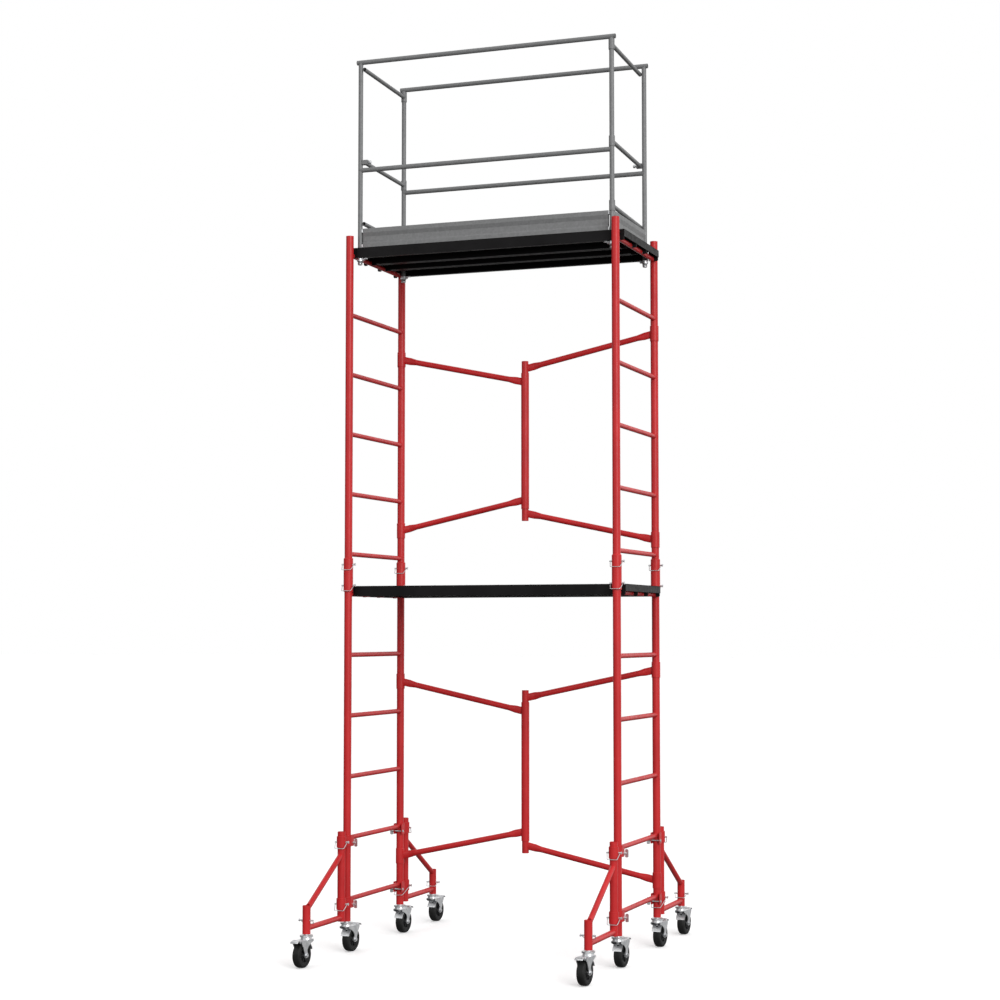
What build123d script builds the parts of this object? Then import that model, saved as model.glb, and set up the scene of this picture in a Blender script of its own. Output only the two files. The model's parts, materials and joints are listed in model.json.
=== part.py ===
"""Two-tier rolling baker scaffold: two folding steel sections stacked on coupling sleeves, a deck
in each, four outriggers, eight braked casters, and a guardrail with swing bars on the top deck.

Millimetres. X runs along the decks, Y from the front to the rear, +Z up.
The origin is on the floor, under the middle of the tower.
"""
import os
from math import asin, cos, degrees, radians

from build123d import *

os.makedirs("parts", exist_ok=True)

# Sections: ladder end frames
SECTION_HEIGHT = 1828.8
BAY_LENGTH = 1498.0  # between post centres, along X
BAY_WIDTH = 714.0  # between post centres, along Y
POST_OD = 41.3
POST_WALL = 2.0
RUNG_OD = 25.4
RUNG_WALL = 1.6
RUNG_COUNT = 5
RUNG_PITCH = 322.7
FIRST_RUNG = 112.0  # above the foot of a post
LEDGER_DROP = 101.8  # ledger centre below the top of a post
WELD_GAP = 0.05  # left where one tube is welded to another, so each stays its own solid

# Coupling sleeves and their wire lock pins
SLEEVE_OD = 50.8
SLEEVE_CLEARANCE = 0.2  # radial
SLEEVE_ABOVE = 91.0  # sleeve top above the joint between two posts
SLEEVE_CHAMFER = 4.0
PIN_OD = 9.0
PIN_HOLE_OD = 9.8
PIN_HALF_LENGTH = 38.0
PIN_SPACING = 112.0
PIN_HEAD_OD = 14.0
PIN_HEAD_LENGTH = 4.0
BAIL_WIRE_OD = 3.4
BAIL_HALF_WIDTH = 26.0  # half the wire's width in front of the tube
BAIL_REACH = 29.0  # from the pin axis to the wire in front of the tube
BAIL_DROP = 29.0  # on the coupling sleeves
CLAMP_BAIL_DROP = 32.0
LONG_BAIL_DROP = 44.0
SHORT_BAIL_DROP = 21.0
BAIL_RADIUS = 6.0

# Folding rear brace: two panels that meet at a centre hinge
ARM_OD = 31.8
ARM_WALL = 1.6
ARM_RISE = 160.0  # an arm's change of height between post and centre
CRIMP_HEIGHT = 41.0
CRIMP_THICKNESS = 17.0
CRIMP_LENGTH = 58.0
CRIMP_TAPER = 38.0
LEFT_ARMS = (1246.7, 269.4)  # top and bottom arm at the post, above the post's foot
RIGHT_ARMS = (1321.0, 194.5)
HINGE_OD = 47.6
HINGE_LENGTH = 86.0
HINGE_CLEARANCE = 0.25  # radial, hinge sleeve on post
HINGE_CHAMFER = 2.0
CENTRE_TUBE_OD = 38.1
CENTRE_TUBE_WALL = 2.4
CENTRE_TUBE_OVERHANG = 42.6  # past the right panel's arms
CENTRE_SLEEVE_OD = 44.5
CENTRE_SLEEVE_CLEARANCE = 0.3  # radial
CENTRE_SLEEVE_OVERHANG = 51.0  # past the left panel's arms

# Outriggers
OUTRIGGER_OFFSET = 70.0  # main tube axis outside the post axis
OUTRIGGER_REACH = 487.0  # caster axis outside the post axis
OUTRIGGER_FOOT = 8.0  # main tube's foot above the post's foot
OUTRIGGER_HEIGHT = 467.0
SHORT_TUBE_LENGTH = 142.0
OUTRIGGER_BRACE_OD = 28.6
OUTRIGGER_BRACE_WALL = 1.8
LOWER_BRACE_HEIGHT = 28.0  # above the post's foot
DIAGONAL_TOP = 358.0  # above the post's foot, on the main tube
DIAGONAL_DROP = 22.0  # below the top of the short tube
COLLAR_OD = 50.8
COLLAR_CLEARANCE = 0.2  # radial
COLLAR_ABOVE = 16.0  # above the rung's centre
COLLAR_BELOW = 42.0
CLAMP_WEB = 16.0
CHEEK_MARGIN = 8.0  # of a saddle cheek past the wing bolt's axis
CLAMP_PIN_DROP = 14.0  # lock pin below the rung's centre
WING_BOLT_DROP = 25.0  # wing bolt below the rung's centre
CLAMP_BOLT_OD = 8.0
CLAMP_BOLT_HOLE = 8.8
CLAMP_HEAD_OD = 14.6
CLAMP_HEAD_LENGTH = 5.0
WING_SPAN = 42.0
WING_HEIGHT = 17.0
WING_THICKNESS = 5.0
WING_START = 6.0  # from the face of the nut to the wings
WING_ROUND = 6.0
WING_HUB_OD = 16.0
WING_HUB_LENGTH = 13.0
SHORT_PIN_HEIGHT = 68.0  # above the short tube's foot

# Casters
CASTER_HEIGHT = 163.0  # floor to the foot of a post
WHEEL_OD = 127.0
WHEEL_WIDTH = 42.0
WHEEL_SHOULDER = 7.0
HUB_OD = 84.0
HUB_WIDTH = 38.0
HUB_BORE_CLEARANCE = 0.05  # radial
AXLE_OD = 12.0
AXLE_HEAD_OD = 19.0
AXLE_HEAD_LENGTH = 7.0
CASTER_TRAIL = 45.0
TRAIL_ANGLE = 85.0  # trailing direction, anticlockwise from +X
FORK_INNER = 50.0
FORK_PLATE = 3.5
FORK_LEG = (  # outline of a leg: trailing distance and height
    (-24.0, 138.0), (88.0, 138.0), (88.0, 124.0), (74.0, 104.0), (60.0, 72.0), (59.0, 57.5),
    (52.0, 50.5), (38.0, 50.5), (31.0, 57.5), (32.0, 72.0), (36.0, 84.0), (34.0, 95.0),
    (24.0, 106.0), (4.0, 118.0), (-24.0, 127.0),
)
FENDER_RADII = (66.0, 69.5)
FENDER_ARC = (98.0, 160.0)  # degrees, from the trailing side over the top
FORK_CROWN_TOP = 149.0
FORK_CROWN_UNDER = 134.0
CROWN_PLATE = 4.0
CROWN_OD = 60.0
RACE_OD = 66.0
NECK_OD = 30.0
RACE_GAP = 0.4
RACE_HEIGHT = 9.0
KINGPIN_OD = 12.0
KINGPIN_CLEARANCE = 0.05  # radial
KINGPIN_NUT_OD = 20.0
KINGPIN_NUT_HEIGHT = 8.0
STEM_PLUG_LENGTH = 76.0
STEM_PLUG_CLEARANCE = 0.3  # radial
PEDAL_PIVOT = (80.0, 133.0)  # trailing distance and height
PEDAL_PIN_OD = 8.0
PEDAL_PIN_CLEARANCE = 0.05  # radial
PEDAL_WIDTH = 44.0
PEDAL_REACH = 44.0
PEDAL_THICKNESS = 4.0

# Decks
DECK_LENGTH = 1572.0
DECK_WIDTH = 648.0
DECK_DEPTH = 55.0
DECK_ABOVE_LEDGER = 43.2  # deck top over the ledger's centre
PANEL_THICKNESS = 3.0
DECK_SHEET = 2.5
RAIL_LIP = 26.0
RAIL_END = 24.0  # from the ledger's centre back to the end of a rail
LIP_END = 59.0  # from the ledger's centre back to the end of a rail's lip
STIFFENER_WIDTH = 50.0
STIFFENER_OFFSET = 95.0
END_FLANGE_DEPTH = 37.0
HOOK_PLATE = 5.0
HOOK_BELOW = 13.5  # hook tip below the ledger's centre
HOOK_SEAT_CLEARANCE = 0.3  # notch over the ledger
HOOK_TIP_CHAMFER = 5.0

# Guardrail on the upper deck
GUARD_OD = 25.4
GUARD_WALL = 1.6
GUARD_HALF_LENGTH = 714.0  # guard post axes from the middle, along X
GUARD_HALF_WIDTH = 300.0
GUARD_RAIL_HEIGHT = 1023.0  # top rail above the deck
GUARD_MID_HEIGHT = 428.0
GUARD_OVERHANG = 21.0
GUARD_TAIL = 30.0  # guard post below the deck's underside
GUARD_HOLE_CLEARANCE = 0.5  # radial, post through deck panel
FOOT_HEIGHT = 7.0
FOOT_ROUND = 5.6
CLAMP_RING_OD = 35.0
CLAMP_RING_HEIGHT = 16.0
CLAMP_TAB = (36.0, 20.0, 4.0)
CLAMP_TAB_GAP = 0.3
TOE_HEIGHT = 105.5
TOE_DEPTH = 20.0
TOE_RECESS = 7.0
TOE_BENDS = ((22.0, True), (33.0, False), (62.0, False), (83.0, True))  # height, on the front face
TOE_WALL = 2.0
TOE_END_GAP = 6.0
TOE_BRACKET = (18.0, 16.0)  # width and height
TOE_BRACKET_EDGE = 12.0  # from a board's edge to the middle of a bracket
CLAMP_SCREW_OD = 11.0
CLAMP_SCREW_LENGTH = 20.0

# Swing bars in the two ends of the guardrail
BAR_OD = 22.2
BAR_WALL = 1.5
BAR_DROPS = {"top": 42.0, "middle": 553.0, "lower": 891.5}  # below the top rail
BAR_SLEEVE_OD = 31.8
BAR_SLEEVE_LENGTH = 54.0
BAR_SLEEVE_CLEARANCE = 0.05  # radial
BAR_REST_GAP = 0.9
BAR_PAST_POST = 10.0
LATCH_BLOCK = (26.0, 26.0)  # along the bar and up
LATCH_BLOCK_BACK = 19.0
LATCH_BLOCK_ROUND = 4.0
LATCH_BLOCK_GAP = 0.5
LATCH_PIN_OD = 8.0
LATCH_PIN_CLEARANCE = 0.05  # radial
LATCH_ENTRY = 7.0  # plunger tip inside the guard post
LATCH_STROKE = 12.0
LATCH_KNOB_OD = 19.0
LATCH_KNOB_LENGTH = 13.0
LATCH_KNOB_ROUND = 2.5
LATCH_STRIKE_CLEARANCE = 0.6  # radial, plunger in the guard post's hole

# Derived places
HALF_X = BAY_LENGTH / 2
HALF_Y = BAY_WIDTH / 2
FOOT = {"lower": CASTER_HEIGHT, "upper": CASTER_HEIGHT + SECTION_HEIGHT}
RUNGS = [FIRST_RUNG + RUNG_PITCH * step for step in range(RUNG_COUNT)]
LEDGER = SECTION_HEIGHT - LEDGER_DROP
DECK_TOP = {tier: foot + LEDGER + DECK_ABOVE_LEDGER for tier, foot in FOOT.items()}
POST_ID = POST_OD - 2 * POST_WALL
SLEEVE_FOOT = -LEDGER_DROP + RUNG_OD / 2 + WELD_GAP  # from the joint between two posts
TOP_RAIL = DECK_TOP["upper"] + GUARD_RAIL_HEIGHT
BAR_OFFSET = (GUARD_OD + BAR_OD) / 2 + BAR_REST_GAP
BAR_SPAN = 2 * GUARD_HALF_WIDTH
BAR_ANGLE = degrees(asin(BAR_OFFSET / BAR_SPAN))
BAR_POST_DISTANCE = BAR_SPAN * cos(radians(BAR_ANGLE))
HALF_TURN = Location((0, 0, 0), (0, 0, 180))
BOTTOM = (Align.CENTER, Align.CENTER, Align.MIN)
TOP = (Align.CENTER, Align.CENTER, Align.MAX)


def finish(shape, label):
    """Label a finished piece and write it."""
    shape.label = label
    export_step(shape, f"parts/{label}.step")


def tube(start, end, diameter, wall=0.0, mode=Mode.ADD):
    """A round tube, or a solid bar where wall is 0, between two points."""
    run = Vector(*end) - Vector(*start)
    with BuildSketch(Plane(origin=start, z_dir=run)) as section:
        Circle(diameter / 2)
        if wall:
            Circle(diameter / 2 - wall, mode=Mode.SUBTRACT)
    extrude(section.sketch, amount=run.length, mode=mode)


def cross_hole(place, diameter, length):
    """A hole along X."""
    with Locations(place):
        Cylinder(diameter / 2, length, rotation=(0, 90, 0), mode=Mode.SUBTRACT)


def gathered(pieces):
    """Separate solids held in one piece."""
    with BuildPart() as group:
        for piece in pieces:
            add(piece)
    return group.part


# ---------------------------------------------------------------- ladder end frames

def ladder(pin_heights):
    """One end frame with its foot at z=0: two posts, five rungs and the ledger the deck hooks on."""
    with BuildPart() as frame:
        for height in [*RUNGS, LEDGER]:
            tube((0, -HALF_Y, height), (0, HALF_Y, height), RUNG_OD, RUNG_WALL)
        for y in (-HALF_Y, HALF_Y):
            tube((0, y, 0), (0, y, SECTION_HEIGHT), POST_OD + 2 * WELD_GAP, mode=Mode.SUBTRACT)
        for y in (-HALF_Y, HALF_Y):
            tube((0, y, 0), (0, y, SECTION_HEIGHT), POST_OD, POST_WALL)
            for height in pin_heights:
                cross_hole((0, y, height), PIN_HOLE_OD, 2 * POST_OD)
    return frame.part


LADDER_PINS = {
    "lower": [SECTION_HEIGHT - PIN_SPACING / 2],
    "upper": [PIN_SPACING / 2],
}
for tier in FOOT:
    frame_shape = ladder(LADDER_PINS[tier])
    for side, x in (("left", -HALF_X), ("right", HALF_X)):
        finish(frame_shape.moved(Location((x, 0, FOOT[tier]))), f"{tier}_{side}_ladder")


# ---------------------------------------------------------------- folding rear brace

def crimped_bar(start, end, inset):
    """A bar that is round along its length and crimped tall and thin at both ends."""
    run = Vector(*end) - Vector(*start)
    ahead = run.normalized()
    crimp = (CRIMP_THICKNESS / 2 - inset, CRIMP_HEIGHT / 2 - inset)
    taper_end = CRIMP_LENGTH + CRIMP_TAPER

    def station(distance):
        return Plane(origin=Vector(*start) + ahead * distance, x_dir=(0, 1, 0), z_dir=ahead)

    with BuildPart() as bar:
        for first, second in ((0, CRIMP_LENGTH), (run.length, run.length - CRIMP_LENGTH)):
            with BuildSketch(station(min(first, second))):
                Ellipse(*crimp)
            extrude(amount=CRIMP_LENGTH)
        for crimped, round_end in (
            (CRIMP_LENGTH, taper_end),
            (run.length - CRIMP_LENGTH, run.length - taper_end),
        ):
            with BuildSketch(station(crimped)):
                Ellipse(*crimp)
            with BuildSketch(station(round_end)):
                Circle(ARM_OD / 2 - inset)
            loft()
        with BuildSketch(station(taper_end)):
            Circle(ARM_OD / 2 - inset)
        extrude(amount=run.length - 2 * taper_end)
    return bar.part


def brace_arm(post_x, post_z, centre_z, centre_od):
    """A crimped tube from a hinge sleeve to the centre hinge, coped to both."""
    start = (post_x, HALF_Y, post_z)
    end = (0, HALF_Y, centre_z)
    with BuildPart() as arm:
        add(crimped_bar(start, end, 0))
        add(crimped_bar(start, end, ARM_WALL), mode=Mode.SUBTRACT)
        for x, z, diameter in ((post_x, post_z, HINGE_OD), (0, centre_z, centre_od)):
            with Locations((x, HALF_Y, z)):
                Cylinder(diameter / 2 + WELD_GAP, 4 * CRIMP_HEIGHT, mode=Mode.SUBTRACT)
    return arm.part


def hinge_sleeve(x, z):
    """A sleeve that turns on a rear post."""
    with BuildPart() as sleeve:
        with Locations((x, HALF_Y, z)):
            Cylinder(HINGE_OD / 2, HINGE_LENGTH)
        chamfer(sleeve.edges().filter_by(GeomType.CIRCLE), HINGE_CHAMFER)
        with Locations((x, HALF_Y, z)):
            Cylinder(POST_OD / 2 + HINGE_CLEARANCE, HINGE_LENGTH, mode=Mode.SUBTRACT)
    return sleeve.part


def brace_panel(post_x, arms, centre_od, centre_bore, overhang):
    """Two arms on hinge sleeves, joined by their half of the centre hinge."""
    top, bottom = arms
    top_centre = top - ARM_RISE
    bottom_centre = bottom + ARM_RISE
    with BuildPart() as upright:
        tube(
            (0, HALF_Y, bottom_centre - overhang),
            (0, HALF_Y, top_centre + overhang),
            centre_od,
            (centre_od - centre_bore) / 2,
        )
    return gathered([
        brace_arm(post_x, top, top_centre, centre_od),
        brace_arm(post_x, bottom, bottom_centre, centre_od),
        hinge_sleeve(post_x, top),
        hinge_sleeve(post_x, bottom),
        upright.part,
    ])


PANELS = {
    "left": brace_panel(
        -HALF_X, LEFT_ARMS, CENTRE_SLEEVE_OD,
        CENTRE_TUBE_OD + 2 * CENTRE_SLEEVE_CLEARANCE, CENTRE_SLEEVE_OVERHANG,
    ),
    "right": brace_panel(
        HALF_X, RIGHT_ARMS, CENTRE_TUBE_OD,
        CENTRE_TUBE_OD - 2 * CENTRE_TUBE_WALL, CENTRE_TUBE_OVERHANG,
    ),
}
for tier in FOOT:
    for side, panel in PANELS.items():
        finish(panel.moved(Location((0, 0, FOOT[tier]))), f"{tier}_{side}_brace")


# ---------------------------------------------------------------- coupling sleeves and lock pins

def lock_pin(reach, drop):
    """A pin along X with a wire bail that drops in front of the tube it holds."""
    side = PIN_HALF_LENGTH - BAIL_WIRE_OD
    with BuildPart() as pin:
        Cylinder(PIN_OD / 2, 2 * PIN_HALF_LENGTH, rotation=(0, 90, 0))
        with Locations((PIN_HALF_LENGTH, 0, 0)):
            Cylinder(PIN_HEAD_OD / 2, PIN_HEAD_LENGTH, rotation=(0, 90, 0), align=BOTTOM)
        with BuildLine() as wire:
            FilletPolyline(
                (-side, 0, 0),
                (-BAIL_HALF_WIDTH, -reach, -drop),
                (BAIL_HALF_WIDTH, -reach, -drop),
                (side, 0, 0),
                radius=BAIL_RADIUS,
            )
        with BuildSketch(Plane(origin=wire.line @ 0, z_dir=wire.line % 0)):
            Circle(BAIL_WIRE_OD / 2)
        sweep(path=wire.line)
    return pin.part


with BuildPart() as coupling_sleeve:
    Cylinder(SLEEVE_OD / 2, SLEEVE_ABOVE - SLEEVE_FOOT, align=BOTTOM)
    chamfer(coupling_sleeve.edges().group_by(Axis.Z)[-1], SLEEVE_CHAMFER)
    Cylinder(
        POST_OD / 2 + SLEEVE_CLEARANCE, SLEEVE_ABOVE - SLEEVE_FOOT, align=BOTTOM, mode=Mode.SUBTRACT
    )
    for height in (-PIN_SPACING / 2, PIN_SPACING / 2):
        cross_hole((0, 0, height - SLEEVE_FOOT), PIN_HOLE_OD, 2 * SLEEVE_OD)

JOINTS = [Location((x, y, FOOT["upper"])) for x in (-HALF_X, HALF_X) for y in (-HALF_Y, HALF_Y)]
with BuildPart() as coupling_sleeves:
    for joint in JOINTS:
        add(coupling_sleeve.part.moved(joint * Location((0, 0, SLEEVE_FOOT))))
finish(coupling_sleeves.part, "coupling_sleeves")

coupling_pin = lock_pin(BAIL_REACH, BAIL_DROP)
with BuildPart() as coupling_lock_pins:
    for joint in JOINTS:
        for height in (-PIN_SPACING / 2, PIN_SPACING / 2):
            add(coupling_pin.moved(joint * Location((0, 0, height))))
finish(coupling_lock_pins.part, "coupling_lock_pins")


# ---------------------------------------------------------------- outriggers
# Built on a front post: the post's axis is at x=0, y=0, the floor at z=0, and -Y is outwards.

MAIN_FOOT = CASTER_HEIGHT + OUTRIGGER_FOOT
SHORT_TOP = CASTER_HEIGHT + SHORT_TUBE_LENGTH
CLAMP_HEIGHTS = [CASTER_HEIGHT + height for height in RUNGS[:2]]
SHORT_PIN = CASTER_HEIGHT + SHORT_PIN_HEIGHT

with BuildPart() as outrigger:
    brace_z = CASTER_HEIGHT + LOWER_BRACE_HEIGHT
    tube(
        (0, -OUTRIGGER_OFFSET, brace_z), (0, -OUTRIGGER_REACH, brace_z),
        OUTRIGGER_BRACE_OD, OUTRIGGER_BRACE_WALL,
    )
    tube(
        (0, -OUTRIGGER_OFFSET, CASTER_HEIGHT + DIAGONAL_TOP),
        (0, -OUTRIGGER_REACH, SHORT_TOP - DIAGONAL_DROP),
        OUTRIGGER_BRACE_OD, OUTRIGGER_BRACE_WALL,
    )
    uprights = (
        (-OUTRIGGER_OFFSET, MAIN_FOOT, MAIN_FOOT + OUTRIGGER_HEIGHT),
        (-OUTRIGGER_REACH, CASTER_HEIGHT, SHORT_TOP),
    )
    for y, foot, top in uprights:
        tube((0, y, 0), (0, y, 2 * top), POST_OD + 2 * WELD_GAP, mode=Mode.SUBTRACT)
    for y, foot, top in uprights:
        tube((0, y, foot), (0, y, top), POST_OD, POST_WALL)
    for height in CLAMP_HEIGHTS:
        cross_hole((0, -OUTRIGGER_OFFSET, height - CLAMP_PIN_DROP), PIN_HOLE_OD, 2 * POST_OD)
    cross_hole((0, -OUTRIGGER_REACH, SHORT_PIN), PIN_HOLE_OD, 2 * POST_OD)

OUTRIGGERS = {
    "front_left": Location((-HALF_X, -HALF_Y, 0)),
    "front_right": Location((HALF_X, -HALF_Y, 0)),
    "rear_left": Location((-HALF_X, HALF_Y, 0), (0, 0, 180)),
    "rear_right": Location((HALF_X, HALF_Y, 0), (0, 0, 180)),
}
for corner, place in OUTRIGGERS.items():
    finish(outrigger.part.moved(place), f"{corner}_outrigger")

COLLAR_BORE = POST_OD / 2 + COLLAR_CLEARANCE
WING_BOLT_Y = POST_OD / 2 + CLAMP_BOLT_OD / 2 + 1.0
CHEEK_REACH = WING_BOLT_Y + CHEEK_MARGIN
CLAMP_HEIGHT = COLLAR_ABOVE + COLLAR_BELOW

# A collar for the outrigger's main tube, joined to a saddle that is open towards the rung, so it
# slips on to the post from outside. The wing bolt crosses behind the post, below the rung.
with BuildPart() as clamp:
    with BuildSketch(Plane.XY.offset(-COLLAR_BELOW)):
        with Locations((0, 0), (0, -OUTRIGGER_OFFSET)):
            Circle(COLLAR_OD / 2)
        with Locations((0, -OUTRIGGER_OFFSET / 2)):
            Rectangle(CLAMP_WEB, OUTRIGGER_OFFSET)
        with Locations((0, CHEEK_REACH / 2)):
            Rectangle(COLLAR_OD, CHEEK_REACH)
            Rectangle(2 * COLLAR_BORE, CHEEK_REACH, mode=Mode.SUBTRACT)
        with Locations((0, 0), (0, -OUTRIGGER_OFFSET)):
            Circle(COLLAR_BORE, mode=Mode.SUBTRACT)
    extrude(amount=CLAMP_HEIGHT)
    cross_hole((0, -OUTRIGGER_OFFSET, -CLAMP_PIN_DROP), PIN_HOLE_OD, 2 * COLLAR_OD)
    cross_hole((0, WING_BOLT_Y, -WING_BOLT_DROP), CLAMP_BOLT_HOLE, 2 * COLLAR_OD)

with BuildPart() as outrigger_clamps:
    for place in OUTRIGGERS.values():
        for height in CLAMP_HEIGHTS:
            add(clamp.part.moved(place * Location((0, 0, height))))
finish(outrigger_clamps.part, "outrigger_clamps")

# A bolt along X through both cheeks, with a hexagon head on one side and a wing nut on the other.
with BuildPart() as wing_bolt:
    with BuildSketch(Plane.YZ.offset(-COLLAR_OD / 2)):
        RegularPolygon(CLAMP_HEAD_OD / 2, 6)
    extrude(amount=-CLAMP_HEAD_LENGTH)
    with Locations((-COLLAR_OD / 2, 0, 0)):
        Cylinder(CLAMP_BOLT_OD / 2, COLLAR_OD, rotation=(0, 90, 0), align=BOTTOM)
    with Locations((COLLAR_OD / 2, 0, 0)):
        Cone(
            WING_HUB_OD / 2, WING_HUB_OD / 2 - 2.0, WING_HUB_LENGTH, rotation=(0, 90, 0),
            align=BOTTOM,
        )
    with BuildSketch(Plane.XZ.offset(-WING_THICKNESS / 2)):
        with Locations((COLLAR_OD / 2 + WING_START + WING_HEIGHT / 2, 0)):
            RectangleRounded(WING_HEIGHT, WING_SPAN, WING_ROUND)
    extrude(amount=WING_THICKNESS)

clamp_pin = lock_pin(BAIL_REACH, CLAMP_BAIL_DROP)
# A rear lower pin's bail drops in front of the post.
long_bail_pin = lock_pin(OUTRIGGER_OFFSET + BAIL_REACH, LONG_BAIL_DROP)
short_tube_pin = lock_pin(BAIL_REACH, SHORT_BAIL_DROP)
BOLT_PLACE = Location((0, WING_BOLT_Y, -WING_BOLT_DROP))
with BuildPart() as outrigger_fasteners:
    for place in OUTRIGGERS.values():
        for height in CLAMP_HEIGHTS:
            add(wing_bolt.part.moved(place * Location((0, 0, height)) * BOLT_PLACE))
    for x in (-HALF_X, HALF_X):
        for height in CLAMP_HEIGHTS:
            pin_z = height - CLAMP_PIN_DROP
            add(clamp_pin.moved(Location((x, -HALF_Y - OUTRIGGER_OFFSET, pin_z))))
        rear = Location((x, HALF_Y + OUTRIGGER_OFFSET, 0))
        add(long_bail_pin.moved(rear * Location((0, 0, CLAMP_HEIGHTS[0] - CLAMP_PIN_DROP))))
        upper = Location((0, 0, CLAMP_HEIGHTS[1] - CLAMP_PIN_DROP))
        add(clamp_pin.moved(rear * upper * HALF_TURN))
        front_short = Location((x, -HALF_Y - OUTRIGGER_REACH, SHORT_PIN))
        rear_short = Location((x, HALF_Y + OUTRIGGER_REACH, SHORT_PIN))
        add(short_tube_pin.moved(front_short * HALF_TURN))
        add(short_tube_pin.moved(rear_short))
finish(outrigger_fasteners.part, "outrigger_fasteners")


# ---------------------------------------------------------------- casters
# Built with the swivel axis at x=0, y=0, the floor at z=0, and the wheel trailing towards +X.

AXLE_HEIGHT = WHEEL_OD / 2
STEM_PLUG_OD = POST_ID - 2 * STEM_PLUG_CLEARANCE

with BuildPart() as caster_stem:
    with Locations((0, 0, CASTER_HEIGHT)):
        Cylinder(STEM_PLUG_OD / 2, STEM_PLUG_LENGTH, align=BOTTOM)
        Cylinder(NECK_OD / 2, CASTER_HEIGHT - FORK_CROWN_TOP - RACE_HEIGHT, align=TOP)
    with Locations((0, 0, FORK_CROWN_TOP + RACE_GAP)):
        Cylinder(RACE_OD / 2, RACE_HEIGHT - RACE_GAP, align=BOTTOM)
    with Locations((0, 0, CASTER_HEIGHT)):
        Cylinder(KINGPIN_OD / 2, CASTER_HEIGHT - FORK_CROWN_UNDER + KINGPIN_NUT_HEIGHT, align=TOP)
    with Locations((0, 0, FORK_CROWN_UNDER - RACE_GAP)):
        Cylinder(KINGPIN_NUT_OD / 2, KINGPIN_NUT_HEIGHT, align=TOP)

with BuildPart() as pinned_stem:
    add(caster_stem.part)
    cross_hole((0, 0, SHORT_PIN), PIN_HOLE_OD, 2 * POST_OD)

with BuildPart() as fork:
    # crown: a swivel cup on a plate that reaches back over the wheel
    with BuildSketch(Plane.XY.offset(FORK_CROWN_UNDER)):
        Circle(CROWN_OD / 2)
        with Locations((PEDAL_PIVOT[0] / 2 - 4.0, 0)):
            Rectangle(PEDAL_PIVOT[0] - 8.0, FORK_INNER + 2 * FORK_PLATE)
    extrude(amount=CROWN_PLATE)
    with Locations((0, 0, FORK_CROWN_UNDER)):
        Cone(
            CROWN_OD / 2, CROWN_OD / 2 - 3.0, FORK_CROWN_TOP - FORK_CROWN_UNDER, align=BOTTOM
        )
    # two legs that sweep back and narrow to a round end at the axle
    for face in (FORK_INNER / 2, -FORK_INNER / 2 - FORK_PLATE):
        with BuildSketch(Plane.XZ.offset(-face)):
            with BuildLine():
                Polyline(*FORK_LEG, close=True)
            make_face()
        extrude(amount=-FORK_PLATE)
    # axle bolt with a head and a nut outside the legs
    with Locations((CASTER_TRAIL, 0, AXLE_HEIGHT)):
        Cylinder(AXLE_OD / 2, FORK_INNER + 2 * FORK_PLATE, rotation=(90, 0, 0))
    for outward in (-1, 1):
        with BuildSketch(Plane.XZ.offset(-outward * (FORK_INNER / 2 + FORK_PLATE))):
            with Locations((CASTER_TRAIL, AXLE_HEIGHT)):
                RegularPolygon(AXLE_HEAD_OD / 2, 6)
        extrude(amount=-outward * AXLE_HEAD_LENGTH)
    # pivot pin of the brake pedal
    with Locations((PEDAL_PIVOT[0], 0, PEDAL_PIVOT[1])):
        Cylinder(PEDAL_PIN_OD / 2, FORK_INNER + 2 * FORK_PLATE, rotation=(90, 0, 0))
    # a curved guard between the legs, over the front of the wheel
    with BuildSketch(Plane.XZ.offset(-FORK_INNER / 2)):
        with Locations((CASTER_TRAIL, AXLE_HEIGHT)):
            Circle(FENDER_RADII[1])
            Circle(FENDER_RADII[0], mode=Mode.SUBTRACT)
            with BuildLine():
                arc_ends = [
                    Vector(CASTER_TRAIL, AXLE_HEIGHT) + Vector(WHEEL_OD, 0).rotate(Axis.Z, angle)
                    for angle in FENDER_ARC
                ]
                Polyline((CASTER_TRAIL, AXLE_HEIGHT), *arc_ends, close=True)
            make_face(mode=Mode.INTERSECT)
    extrude(amount=FORK_INNER)
    Cylinder(
        KINGPIN_OD / 2 + KINGPIN_CLEARANCE, 2 * CASTER_HEIGHT, mode=Mode.SUBTRACT
    )

with BuildPart() as wheel_hub:
    with Locations((CASTER_TRAIL, 0, AXLE_HEIGHT)):
        Cylinder(HUB_OD / 2 - WELD_GAP, HUB_WIDTH, rotation=(90, 0, 0))
        Cylinder(AXLE_OD / 2 + HUB_BORE_CLEARANCE, HUB_WIDTH, rotation=(90, 0, 0), mode=Mode.SUBTRACT)

with BuildPart() as wheel_tyre:
    with Locations((CASTER_TRAIL, 0, AXLE_HEIGHT)):
        Cylinder(WHEEL_OD / 2, WHEEL_WIDTH, rotation=(90, 0, 0))
    fillet(wheel_tyre.edges().filter_by(GeomType.CIRCLE), WHEEL_SHOULDER)
    with Locations((CASTER_TRAIL, 0, AXLE_HEIGHT)):
        Cylinder(HUB_OD / 2, 2 * WHEEL_WIDTH, rotation=(90, 0, 0), mode=Mode.SUBTRACT)

with BuildPart() as wheel:
    add(wheel_hub.part)
    add(wheel_tyre.part)

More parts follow.
